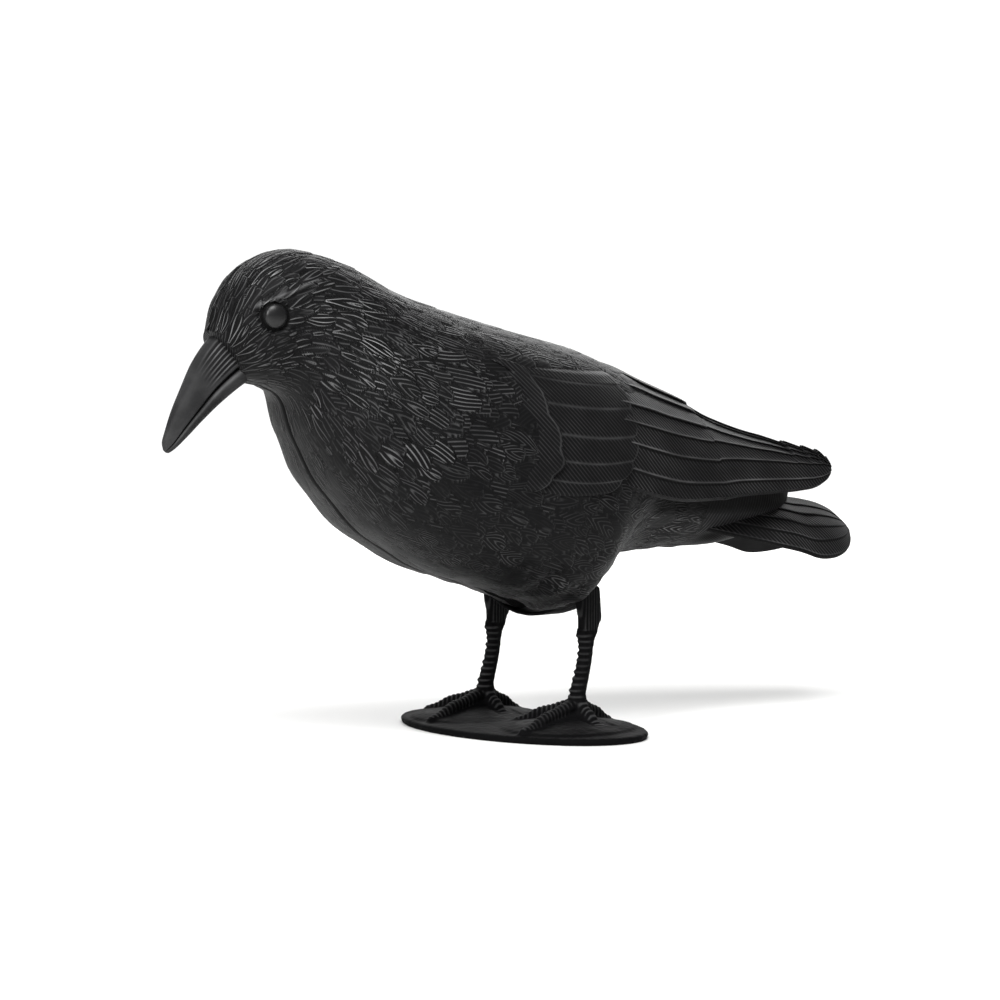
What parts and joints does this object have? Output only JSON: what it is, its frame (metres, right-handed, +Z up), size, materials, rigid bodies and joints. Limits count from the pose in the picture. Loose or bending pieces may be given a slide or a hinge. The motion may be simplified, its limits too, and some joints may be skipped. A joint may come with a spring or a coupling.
{
  "type": "crow decoy",
  "caption": "Hollow black plastic crow decoy of two half-shells, standing on a moulded pair of legs with an oval base.",
  "frame": {"origin": "centre of the underside of the oval base", "axes": "+X from the beak to the tail, +Y towards the bird's right side, +Z up from the ground"},
  "size_m": [0.3953, 0.1486, 0.2368],
  "materials": {
    "bird_shell": "satin black, moulded feather relief",
    "stand": "matt black, moulded in one piece"
  },
  "bodies": {
    "root": {"left_half": "bird_shell", "right_half": "bird_shell", "stand": "stand"}
  },
  "joints": []
}
